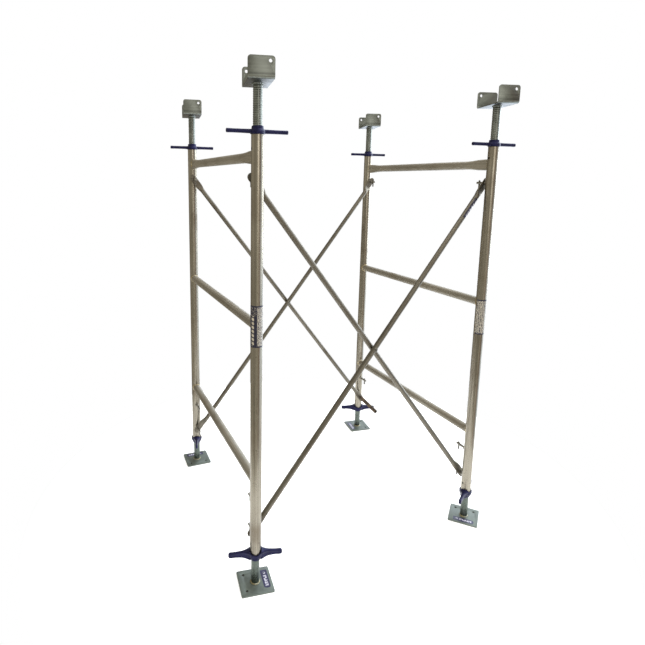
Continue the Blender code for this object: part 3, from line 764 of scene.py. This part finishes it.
class SHORING_OT_studs(bpy.types.Operator):
    """Slotted brace studs and the flat gravity locks that swing in them"""

    bl_idname = "shoring.studs"
    bl_label = "Studs and gravity locks"

    def execute(self, context):
        leg_radius = context.scene.shoring_sizes.leg_radius
        radius, shoulder, tip, edge = 0.0065, 0.011, STUD_TIP, 0.0009
        shoulder_end, pivot_out = 0.0325, 0.074
        profile = [
            (shoulder, 0), (shoulder, shoulder_end - edge), (shoulder - edge, shoulder_end),
            (radius, shoulder_end), (radius, tip - edge), (radius - edge, tip)]
        stud = revolve("stud", profile, 28, "fill")
        stud.data.transform(Matrix.Rotation(-math.pi / 2, 4, "X"))
        slot = box("slot", (0.0044, 0.05, 0.03), (0, 0.081, 0))
        combine(stud, [slot, cylinder("leg_cut", leg_radius - OVERLAP, 0.1, sides=64)], "DIFFERENCE")
        bevel(stud, 0.0004, 1, 60)
        pin = cylinder("pin", 0.0016, 0.0134, "X", (0, pivot_out, 0), 16)
        bevel(pin, 0.0003, 1)
        stud = join([stud, pin])
        dress(stud, [steel_finish("stud_steel", linear(150, 147, 138))])
        above, below, width, thickness = 0.014, 0.032, 0.010, 0.0036
        lock = box("lock", (thickness, width, above + below), (0, 0, (above - below) / 2))
        round_edges(lock, lambda first, second: is_along(0, first, second), width / 2 * 0.98, 8)
        combine(lock, [cylinder("hole", 0.0019, 0.02, "X", sides=20)], "DIFFERENCE")
        bevel(lock, 0.0005, 2, 60)
        dress(lock, [steel_finish("lock_steel", linear(112, 110, 104), 0.4, 0.6)])
        for corner in CORNERS:
            facing, way = (0, 1) if corner.startswith("near") else (180, -1)
            for level in LEVELS:
                height = STUD_HEIGHTS[level]
                put(stud, f"brace_stud_{corner}_{level}", upright(at_corner(corner, height), facing),
                    "tower", f"stud_{corner}_{level}")
                swing = 83 if (corner, level) == ("far_right", "lower") else 0
                pivot = at_corner(corner, height) + Vector((0, way * pivot_out, 0))
                matrix = upright(pivot, facing) @ Matrix.Rotation(math.radians(swing), 4, "X")
                put(lock, f"gravity_lock_{corner}_{level}", matrix, f"lock_{corner}_{level}",
                    f"lock_{corner}_{level}")
        discard(stud, lock)
        return {"FINISHED"}


def spoon_share(place):
    """How round a brace is at a distance from its stud hole, from 0 for flat to 1 for round."""
    return eased((place - FLAT_END) / (SPOON_END - FLAT_END))


def brace_sections(shift, radius):
    """The sections of a brace along X from its lower stud hole, its ends spooned flat."""
    half_thick, half_high, overhang = 0.00275, 0.018, 0.0298
    rounding = half_high
    marks = [rounding - overhang - rounding * math.sin(math.radians(turn))
             for turn in (76, 66, 55, 44, 33, 22, 11, 0)]
    marks += [-0.006, 0.0, 0.012, 0.026]
    marks += [between(FLAT_END, SPOON_END, step / 12) for step in range(13)]
    marks += [0.12, 0.2, 0.35, 0.55, 0.8]
    sections = []
    for place in marks:
        share = spoon_share(place)
        past = min(max(rounding - overhang - place, 0) / rounding, 1)
        swell = 1 + 0.05 * math.sin(math.pi * share)
        sections.append(dict(
            place=place, half_y=between(half_thick, radius, share ** 1.15) * (0.94 if past > 0.96 else 1),
            half_z=between(half_high, radius, share) * math.sqrt(1 - past * past) * swell,
            shift_y=shift * (1 - share), power=between(6, 2, share ** 0.7)))
    other_end = [dict(one, place=BRACE_LENGTH - one["place"]) for one in reversed(sections)]
    return sections + other_end


class SHORING_OT_braces(bpy.types.Operator):
    """Cross braces with spooned ends, their rivets and the spare sleeve"""

    bl_idname = "shoring.braces"
    bl_label = "Braces, rivets and sleeve"

    def execute(self, context):
        sizes = context.scene.shoring_sizes
        colours = context.scene.shoring_colours
        radius = sizes.brace_radius
        tube = tube_finish("brace_tube", tuple(colours.brace), (0.012, 1, 1), linear(74, 64, 52),
                           0.85, 0.34, 0.56)
        low, high = STUD_HEIGHTS["lower"], STUD_HEIGHTS["upper"]
        kinds = {"rising": (0.036, low, -1), "falling": (0.046, high, 1)}
        for kind, (plate_in, start_height, way) in kinds.items():
            shift = plate_in - BRACE_AXES[kind]
            brace = hollow("brace", brace_sections(shift, radius), sizes.brace_wall, 32)
            stud_hole, rivet_hole, drain_hole = 0.0073, 0.00505, 0.0034
            tools = [cylinder("hole", size, 0.05, "Y", (place, 0, 0)) for place, size in (
                (0, stud_hole), (BRACE_LENGTH, stud_hole), (BRACE_LENGTH / 2, rivet_hole))]
            drain_in, drop = 0.097, -0.004 if kind == "rising" else 0
            tools += [
                cylinder("drain", drain_hole, radius, "Y", (place, math.copysign(radius, -shift), drop), 16)
                for place in (drain_in, BRACE_LENGTH - drain_in)]
            combine(brace, tools, "DIFFERENCE")
            dress(brace, [tube])

            def centre(point):
                share = spoon_share(min(point.x, BRACE_LENGTH - point.x))
                return Vector((point.x, shift * (1 - share), 0))

            # Painted shade on the brace's inner faces.
            paint_inner_shade(brace, centre, f"brace_inner_painted_shade_{kind}")
            for side, turn in (("near", 0), ("far", 180)):
                start = Vector((-BAY_LENGTH / 2, -FRAME_WIDTH / 2 + BRACE_AXES[kind], start_height))
                matrix = (upright((0, TOWER_Y, 0), turn) @ Matrix.Translation(start)
                          @ Matrix.Rotation(way * BRACE_SLOPE, 4, "Y"))
                put(brace, f"brace_tube_{side}_{kind}", matrix, "tower",
                    f"brace_{side}_{kind}")
            discard(brace)
        self.rivets(radius)
        self.sleeve(colours)
        return {"FINISHED"}

    @staticmethod
    def rivets(radius):
        """A domed rivet through each pair of braces."""
        gap = 0.0002
        near, far = BRACE_AXES["rising"] - radius - gap, BRACE_AXES["falling"] + radius + gap
        head, shank, dome = 0.010, 0.00475, 0.0028
        arc = [(head * math.cos(a), dome * math.sin(a)) for a in
               (math.pi / 2 * step / 7 for step in range(7))]
        profile = [(across, near - up) for across, up in reversed(arc)]
        profile += [(shank, near), (shank, far)]
        profile += [(across, far + up) for across, up in arc]
        rivet = revolve("rivet", profile, 28, "fill")
        rivet.data.transform(Matrix.Rotation(-math.pi / 2, 4, "X"))
        dress(rivet, [steel_finish("rivet_steel", linear(120, 117, 108))])
        height = (STUD_HEIGHTS["lower"] + STUD_HEIGHTS["upper"]) / 2
        for side, turn in (("near", 0), ("far", 180)):
            matrix = upright((0, TOWER_Y, 0), turn)
            matrix = matrix @ Matrix.Translation((0, -FRAME_WIDTH / 2, height))
            put(rivet, f"rivet_{side}", matrix, "tower", f"brace_rivet_{side}")
        discard(rivet)

    @staticmethod
    def sleeve(colours):
        """The loose sleeve on the far right leg's lower stud."""
        outer, inner, start, stop, droop = 0.013, 0.010, 0.0412, 0.230, math.radians(7)
        length = (stop - start) / math.cos(droop)
        rim = 0.0006
        profile = [(outer - rim, 0), (outer, rim), (outer, length - rim), (outer - rim, length),
                   (inner + rim, length), (inner, length - rim), (inner, rim), (inner + rim, 0)]
        sleeve = revolve("sleeve", profile, 40)
        dress(sleeve, [rust_finish("sleeve_rust", tuple(colours.sleeve))])
        lift = ((start + STUD_TIP) / 2 - start) * math.tan(droop)
        place = at_corner("far_right", STUD_HEIGHTS["lower"] + lift) - Vector((0, start, 0))
        matrix = Matrix.Translation(place) @ Matrix.Rotation(math.pi / 2 + droop, 4, "X")
        put(sleeve, "loose_sleeve", matrix, "spare_sleeve", "spare_sleeve")
        discard(sleeve)


def threaded_screw(name, radius, depth, bore, low, high, pitch):
    """A hollow screw along Z: a tube with a rounded helical ridge wound on it."""
    root = radius - depth
    rim = 0.001
    tube = revolve(name, [
        (root - rim, low), (root, low + rim), (root, high - rim), (root - rim, high),
        (bore + rim, high), (bore, high - rim), (bore, low + rim), (bore + rim, low)], 40)
    clear_selection()
    bpy.ops.mesh.primitive_circle_add(vertices=6, radius=1, fill_type="NOTHING")
    ridge = named("ridge")
    outline = [(root - 0.0006, -0.40), (root + depth * 0.25, -0.32), (root + depth, -0.13),
               (root + depth, 0.13), (root + depth * 0.25, 0.32), (root - 0.0006, 0.40)]
    for vert, (across, along) in zip(ridge.data.vertices, outline):
        vert.co = (across, 0, low + pitch + along * pitch)
    turns = int((high - low) / pitch) - 2
    apply_modifier(ridge, "SCREW", steps=28, render_steps=28, iterations=turns, screw_offset=pitch,
                   use_merge_vertices=False)
    pick(ridge)
    bpy.ops.object.mode_set(mode="EDIT")
    fill_ends()
    face_outwards(ridge)
    return join([tube, ridge])


def rounded_plate(name, size, corner, centre, keep=None):
    """A flat bar whose upright corners are rounded, all of them or those that keep picks out."""
    plate = box(name, size, centre)
    round_edges(plate, lambda first, second: is_along(2, first, second) and (keep is None or keep(first)),
                corner, 6)
    return plate


class SHORING_OT_base_jacks(bpy.types.Operator):
    """Base plates with their welded screws and labels"""

    bl_idname = "shoring.base_jacks"
    bl_label = "Base jacks"

    def execute(self, context):
        sizes = context.scene.shoring_sizes
        colour = tuple(context.scene.shoring_colours.base_zinc)
        side, thick, reach = PLATE_SIDE, 0.006, PLATE_HOLE_REACH
        plate = rounded_plate("base_plate", (side, side, thick), 0.006, (0, 0, thick / 2))
        combine(plate, [cylinder("hole", 0.006, 0.05, "Z", (way * reach, reach, 0)) for way in (-1, 1)],
                "DIFFERENCE")
        bevel(plate, 0.0008, 2, 60)
        plate.data.materials.append(zinc_finish("base_plate_zinc", scaled(colour, 0.72)))
        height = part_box("base_jack_near_left")[1][2]
        screw = threaded_screw("base_screw", sizes.screw_radius, sizes.base_thread_depth, sizes.screw_bore,
                               thick - OVERLAP, height, sizes.thread_pitch)
        # The last number is the strength of the painted shade in the thread's grooves.
        screw.data.materials.append(thread_finish(
            "base_screw_zinc", scaled(colour, 0.68), sizes.screw_radius, sizes.base_thread_depth, 0.15))
        weld = ring_weld("base_weld", sizes.screw_radius, thick, 1, 0.0036)
        weld.data.materials.append(weld_finish("base_weld", linear(150, 152, 140), linear(160, 148, 108)))
        jack = join([plate, screw, weld])
        dress(jack, [])
        along, across = 0.104, 0.031
        label = rounded_plate("plate_label", (along, across, 0.0004), 0.012, (0, 0, 0),
                              keep=lambda point: point.x > 0)
        navy = linear(25, 24, 58)
        dress(label, [pill_finish("plate_label", along / 2, across / 2, navy, linear(196, 194, 208))])
        for corner in CORNERS:
            turn = TURNS[corner][1]
            base = upright(at_corner(corner, 0), turn)
            put(jack, f"base_plate_and_screw_{corner}", base, f"base_jack_{corner}",
                f"base_jack_{corner}")
            flip = 180 if corner == "near_left" else 0
            spot = base @ Matrix.Translation((0.003, -0.048, thick + 0.0003))
            spot = spot @ Matrix.Rotation(math.radians(flip), 4, "Z")
            put(label, f"plate_label_{corner}", spot, f"base_jack_{corner}")
        discard(jack, label)
        return {"FINISHED"}


class SHORING_OT_head_jacks(bpy.types.Operator):
    """U-heads bent from strap with their welded screws"""

    bl_idname = "shoring.head_jacks"
    bl_label = "Head jacks"

    def execute(self, context):
        sizes = context.scene.shoring_sizes
        colour = tuple(context.scene.shoring_colours.head_zinc)
        strap = self.strap()
        strap.data.materials.append(bent_finish("u_head_zinc", colour))
        length = 0.610
        screw = threaded_screw("head_screw", sizes.screw_radius, sizes.head_thread_depth, sizes.screw_bore,
                               -length, OVERLAP, sizes.thread_pitch)
        # The last number is the strength of the painted shade in the thread's grooves.
        screw.data.materials.append(thread_finish(
            "head_screw_zinc", scaled(colour, 1.35), sizes.screw_radius, sizes.head_thread_depth, 0.35))
        weld = ring_weld("head_weld", sizes.screw_radius, 0, -1, 0.0036)
        weld.data.materials.append(weld_finish("head_weld", linear(128, 134, 130), linear(112, 116, 112)))
        jack = join([strap, screw, weld])
        dress(jack, [])
        for corner in CORNERS:
            matrix = upright(at_corner(corner, HEAD_UNDERSIDE), TURNS[corner][3])
            put(jack, f"u_head_and_screw_{corner}", matrix, f"head_jack_{corner}",
                f"head_jack_{corner}")
        discard(jack)
        return {"FINISHED"}

    @staticmethod
    def strap():
        """A flat strap with rounded corners and two holes, bent up at both ends."""
        width, length, height, thick, bend, corner = 0.1016, 0.2032, HEAD_HEIGHT, 0.005, 0.012, 0.012
        inset = 0.0175
        flat = length / 2 - bend
        neutral = bend - thick / 2
        turn = neutral * math.pi / 2
        reach = flat + turn + height - bend
        strap = rounded_plate("u_head", (width, 2 * reach, thick), corner, (0, 0, thick / 2))
        across = width / 2 - inset
        tools = [cylinder("hole", 0.0065, 0.05, "Z", (-way * across, way * (reach - inset), 0))
                 for way in (-1, 1)]
        combine(strap, tools, "DIFFERENCE")
        bevel(strap, 0.0006, 2, 60)
        pick(strap)
        bpy.ops.object.mode_set(mode="EDIT")
        steps = 10
        for way in (-1, 1):
            for step in range(steps + 1):
                bpy.ops.mesh.select_all(action="SELECT")
                bpy.ops.mesh.bisect(plane_co=(0, way * (flat + turn * step / steps), 0),
                                    plane_no=(0, 1, 0))
        bpy.ops.object.mode_set(mode="OBJECT")
        for vert in strap.data.vertices:
            x, y, t = vert.co
            way = math.copysign(1, y)
            along = abs(y)
            if along > flat + turn:
                vert.co = (x, way * (length / 2 - t), bend + along - flat - turn)
            elif along > flat:
                angle = (along - flat) / neutral
                vert.co = (x, way * (flat + (bend - t) * math.sin(angle)),
                           bend - (bend - t) * math.cos(angle))
        return strap


class SHORING_OT_nuts(bpy.types.Operator):
    """Cast wing nuts under and on the legs"""

    bl_idname = "shoring.nuts"
    bl_label = "Wing nuts"

    def execute(self, context):
        paint = paint_finish("nut_paint", tuple(context.scene.shoring_colours.nut))
        base, head = self.base_nut(), self.head_nut()
        for nut in (base, head):
            dress(nut, [paint], 60)
        for corner in CORNERS:
            base_turn, _, head_turn, _ = TURNS[corner]
            put(base, f"base_wing_nut_{corner}", upright(at_corner(corner, LEG_FOOT), base_turn),
                f"base_nut_{corner}", f"base_nut_{corner}")
            put(head, f"head_wing_nut_{corner}", upright(at_corner(corner, LEG_TOP), head_turn),
                f"head_nut_{corner}", f"head_nut_{corner}")
        discard(base, head)
        return {"FINISHED"}

    @staticmethod
    def base_nut():
        """A cup that takes the leg's foot, with two deep-rooted arms."""
        bore, cup, cup_bore, rim, hub, bottom = 0.0198, 0.0324, 0.0263, 0.022, 0.0235, 0.024
        body = revolve("base_nut", [
            (bore, -bottom), (hub - 0.001, -bottom), (hub, 0.001 - bottom), (cup - 0.004, -0.013),
            (cup, -0.003), (cup, rim), (cup_bore, rim), (cup_bore, -0.0008), (bore, -0.0008)], 64)
        low, corner_x, corner_z, top = 0.007, 0.0235, 0.013, rim + 0.002
        notch = [[(0, y, low), (corner_x, y, corner_z), (cup_bore, y, top), (-cup_bore, y, top),
                  (-corner_x, y, corner_z)] for y in (-0.06, 0.06)]
        combine(body, [grow("notch", notch, "fill")], "DIFFERENCE")
        arms = []
        tip = 0.1218
        for way in (-1, 1):
            rings = []
            for place in (0.0215, 0.0285, 0.036, 0.044, 0.052, 0.060, 0.068, 0.080, 0.092, 0.104, 0.111,
                          0.116, 0.1195, 0.1215):
                share = min(max((0.104 - place) / 0.074, 0), 1)
                top = between(0.0108, 0.0187, share)
                low = between(0.0108, 0.0198, share ** 2)
                ease = math.sqrt(max(1 - max((place - 0.112) / (tip - 0.112), 0) ** 2.6, 0.10))
                swell = 0.0012 * eased((place - 0.090) / 0.016)
                half_z = ((top + low) / 2 + swell) * between(1, ease, 0.75)
                web = 0.0150 * min(max(1 - (place - 0.0285) / 0.034, 0), 1) ** 1.6
                half_y = 0.0075 * between(1, ease, 0.8) + web
                rings.append(section(way * place, half_y, half_z, 0, (top - low) / 2, 4.2,
                                     0.22 * (place < 0.111), 32))
            arms.append(grow("arm", rings, "fill"))
        combine(body, arms, "UNION")
        cup_cut = cylinder("cup_cut", cup_bore, 0.08, centre=(0, 0, 0.0392), sides=64)
        combine(body, [cup_cut, cylinder("bore_cut", bore, 0.1, sides=64)], "DIFFERENCE")
        cast(body, 0.0011, 3)
        return body

    @staticmethod
    def head_nut():
        """A flared collar on the leg's top, with two straight round arms."""
        bore, low, high = 0.0198, 0.0004, 0.032
        body = revolve("head_nut", [
            (bore, high), (0.0223, high), (0.0233, high - 0.001), (0.0245, 0.021), (0.0286, 0.014),
            (0.0306, 0.009), (0.0284, low), (bore, low)], 64)
        arms = []
        for way in (-1, 1):
            stations = ((0.0222, 0.0088), (0.03, 0.0086), (0.06, 0.0080), (0.10, 0.0079),
                        (0.119, 0.0084), (0.1235, 0.0082), (0.1248, 0.0068))
            rings = [section(way * place, radius, radius, 0, 0.011, 2.3, 0, 24)
                     for place, radius in stations]
            arms.append(grow("arm", rings, "fill"))
        combine(body, arms, "UNION")
        cast(body, 0.0011, 4)
        return body


def wrapped_label(name, radius, turn, across, along, material):
    """A thin label wrapped round an axis along Z, its middle facing an angle, as a template."""
    clear_selection()
    bpy.ops.mesh.primitive_grid_add(x_subdivisions=32, y_subdivisions=4, size=1)
    label = named(name)
    label.data.transform(Matrix.Diagonal((across, along, 1, 1)))
    apply_modifier(label, "SOLIDIFY", thickness=0.0003, offset=1)
    dress(label, [material])
    for vert in label.data.vertices:
        angle = turn + vert.co.x / radius
        out = radius + 0.0001 + vert.co.z
        vert.co = (out * math.cos(angle), out * math.sin(angle), vert.co.y)
    return label


class SHORING_OT_labels(bpy.types.Operator):
    """Plain printed labels on the near legs and on one brace"""

    bl_idname = "shoring.labels"
    bl_label = "Labels"

    def execute(self, context):
        sizes = context.scene.shoring_sizes
        navy = linear(28, 28, 50)
        cream = linear(196, 190, 176)
        across = 0.074
        for corner, low, high, facing, split in (("near_left", 1.1205, 1.2975, -108, 0.0015),
                                                 ("near_right", 1.042, 1.223, -98, -0.0345)):
            along = high - low
            material = label_finish(f"leg_label_{corner}", across / 2, along / 2, split, cream,
                                    navy, linear(214, 206, 188))
            label = wrapped_label("leg_label", sizes.leg_radius, math.radians(facing), across, along,
                                  material)
            put(label, f"leg_label_{corner}", upright(at_corner(corner, (low + high) / 2)), "tower")
            discard(label)
        across, along = 0.030, 0.115
        material = label_finish("brace_label", across / 2, along / 2, 0.0090, navy, navy,
                                linear(150, 150, 164))
        label = wrapped_label("brace_label", sizes.brace_radius, math.radians(-60), across, along, material)
        start = Vector((-BAY_LENGTH / 2, TOWER_Y - FRAME_WIDTH / 2 + BRACE_AXES["rising"],
                        STUD_HEIGHTS["lower"]))
        matrix = Matrix.Translation(start) @ Matrix.Rotation(-BRACE_SLOPE, 4, "Y")
        matrix = matrix @ Matrix.Translation((BRACE_LENGTH - 0.155, 0, 0))
        matrix = matrix @ Matrix.Rotation(math.pi / 2, 4, "Y")
        put(label, "brace_label", matrix, "tower")
        discard(label)
        return {"FINISHED"}


class SHORING_OT_stage(bpy.types.Operator):
    """A pale floor, a white room, soft light and the camera"""

    bl_idname = "shoring.stage"
    bl_label = "Stage"

    def execute(self, context):
        self.floor()
        self.painted_shadow_pads()
        self.world(context.scene)
        self.lights()
        self.camera(context.scene)
        return {"FINISHED"}

    @staticmethod
    def floor():
        """A round pale floor."""
        clear_selection()
        bpy.ops.mesh.primitive_circle_add(vertices=96, radius=1.6, fill_type="NGON",
                                          location=(0, 0, -0.0005))
        floor = named("floor")
        finish = Finish("pale_floor", 0.0, 0.9)
        finish.colour(finish.mix(finish.noise(1.5, 3), (0.92, 0.92, 0.92), (0.95, 0.95, 0.95)))
        finish.shader.inputs["Emission Color"].default_value = (1, 1, 1, 1)
        finish.shader.inputs["Emission Strength"].default_value = 0.40
        floor.data.materials.append(finish.material)

    @staticmethod
    def painted_shadow_pads():
        """Painted shadow: dark discs on the floor that show through the holes of the base plates, for the
        shaded ground under them.
        """
        finish = Finish("painted_shadow_ground", 0.0, 0.95)
        finish.colour(finish.mix(finish.noise(140, 4), linear(52, 46, 40), linear(86, 76, 66)))
        for corner in CORNERS:
            base = upright(at_corner(corner, -0.0002), TURNS[corner][1])
            for side, way in (("first", -1), ("second", 1)):
                clear_selection()
                bpy.ops.mesh.primitive_circle_add(vertices=24, radius=0.015, fill_type="NGON",
                                                  location=base @ (Vector((way, 1, 0)) * PLATE_HOLE_REACH))
                # Each disc is painted shadow, standing for the shaded ground under a plate's hole.
                shadow_pad = named(f"ground_{side}_{corner}")
                shadow_pad.data.materials.append(finish.material)

    @staticmethod
    def world(scene):
        """A white room for the camera, with darker warm walls that only the metal reflects."""
        world = bpy.data.worlds.new("studio")
        world.use_nodes = True
        scene.world = world
        scene.view_settings.view_transform = "Standard"
        tree = world.node_tree
        coordinates = add_node(tree, "ShaderNodeTexCoord").outputs["Generated"]
        turned = add_node(tree, "ShaderNodeMapping", {
            "Vector": coordinates, "Rotation": (0, 0, math.radians(113.1))}).outputs["Vector"]
        around = add_node(tree, "ShaderNodeTexGradient", {"Vector": turned}, gradient_type="RADIAL")
        walls = add_node(tree, "ShaderNodeValToRGB", {"Fac": around.outputs["Fac"]})
        # Degrees to the right of the camera's side of the room, and the wall's brightness there.
        stops = ((-180, (0.32, 0.28, 0.22)), (-112, (0.40, 0.36, 0.28)), (-95, (0.64, 0.60, 0.50)),
                 (20, (0.60, 0.56, 0.46)), (34, (0.74, 0.70, 0.58)), (48, (0.42, 0.27, 0.20)),
                 (62, (0.42, 0.32, 0.28)), (80, (1.7, 1.9, 2.1)), (180, (2.5, 2.7, 3.0)))
        while len(walls.color_ramp.elements) < len(stops):
            walls.color_ramp.elements.new(0.5)
        for element, (degrees, colour) in zip(walls.color_ramp.elements, stops):
            element.position = (degrees + 180) / 360
            element.color = (*colour, 1)
        room = add_node(tree, "ShaderNodeBackground", {"Color": walls.outputs["Color"], "Strength": 1.0})
        white = add_node(tree, "ShaderNodeBackground", {"Color": (1, 1, 1, 1), "Strength": 1.0})
        path = add_node(tree, "ShaderNodeLightPath")
        mixer = add_node(tree, "ShaderNodeMixShader", {
            "Fac": path.outputs["Is Camera Ray"], 1: room.outputs["Background"],
            2: white.outputs["Background"]})
        output = next(node for node in tree.nodes if node.type == "OUTPUT_WORLD")
        tree.links.new(mixer.outputs["Shader"], output.inputs["Surface"])

    @staticmethod
    def lights():
        """Soft boxes: a large one above, a tall one on the right and a weak fill at the left."""
        boxes = (
            ("top_light", (0.6, -0.6, 5.2), (0, 0, 0.8), (4.5, 4.5), 130, (1, 0.99, 0.97)),
            ("right_light", (4.8, 0.4, 2.2), (0, 0, 1.1), (1.2, 3.6), 130, (0.92, 0.97, 1)),
            ("front_light", (-0.6, -5.2, 2.8), (0, 0, 1.1), (2.2, 3.0), 50, (1, 0.97, 0.92)),
        )
        for name, place, target, size, power, colour in boxes:
            light = bpy.data.lights.new(name, "AREA")
            light.shape = "RECTANGLE"
            light.size, light.size_y = size
            light.energy = power
            light.color = colour
            lamp = bpy.data.objects.new(name, light)
            lamp.location = place
            direction = Vector(target) - Vector(place)
            lamp.rotation_euler = direction.to_track_quat("-Z", "Y").to_euler()
            bpy.context.scene.collection.objects.link(lamp)

    @staticmethod
    def camera(scene):
        """A level wide view from the near left, slightly above the legs' middle."""
        data = bpy.data.cameras.new("camera")
        data.sensor_width = 36
        data.lens = 27.70
        data.shift_x = 0.0668
        data.shift_y = -0.0879
        data.clip_end = 200
        camera = bpy.data.objects.new("camera", data)
        yaw, pitch, roll = 0.4036, 0.1668, 0.0130
        camera.matrix_world = (
            Matrix.Translation((-1.3059, -2.4134 + TOWER_Y, 1.7955))
            @ Matrix.Rotation(-yaw, 4, "Z") @ Matrix.Rotation(math.pi / 2 - pitch, 4, "X")
            @ Matrix.Rotation(roll, 4, "Z"))
        scene.collection.objects.link(camera)
        scene.camera = camera


class SHORING_PT_panel(bpy.types.Panel):
    """The pieces of the bay, in the order they are made"""

    bl_idname = "SHORING_PT_panel"
    bl_label = "Shoring Frame Bay"
    bl_space_type = "VIEW_3D"
    bl_region_type = "UI"
    bl_category = "Shoring"

    def draw(self, context):
        layout = self.layout
        for group in (context.scene.shoring_sizes, context.scene.shoring_colours):
            column = layout.column()
            for key in group.__annotations__:
                column.prop(group, key)
        for operator in OPERATORS:
            layout.operator(operator.bl_idname)


OPERATORS = (SHORING_OT_stage, SHORING_OT_legs, SHORING_OT_rungs, SHORING_OT_studs,
             SHORING_OT_braces, SHORING_OT_base_jacks, SHORING_OT_head_jacks, SHORING_OT_nuts,
             SHORING_OT_labels)
CLASSES = (ShoringSizes, ShoringColours, *OPERATORS, SHORING_PT_panel)


def register():
    """Register the classes and the settings."""
    for item in CLASSES:
        bpy.utils.register_class(item)
    bpy.types.Scene.shoring_sizes = PointerProperty(type=ShoringSizes)
    bpy.types.Scene.shoring_colours = PointerProperty(type=ShoringColours)


def unregister():
    """Remove the settings and the classes."""
    del bpy.types.Scene.shoring_colours
    del bpy.types.Scene.shoring_sizes
    for item in reversed(CLASSES):
        bpy.utils.unregister_class(item)


def main():
    """Make every piece in order."""
    register()
    for operator in OPERATORS:
        family, name = operator.bl_idname.split(".")
        getattr(getattr(bpy.ops, family), name)()


if __name__ == "__main__":
    main()
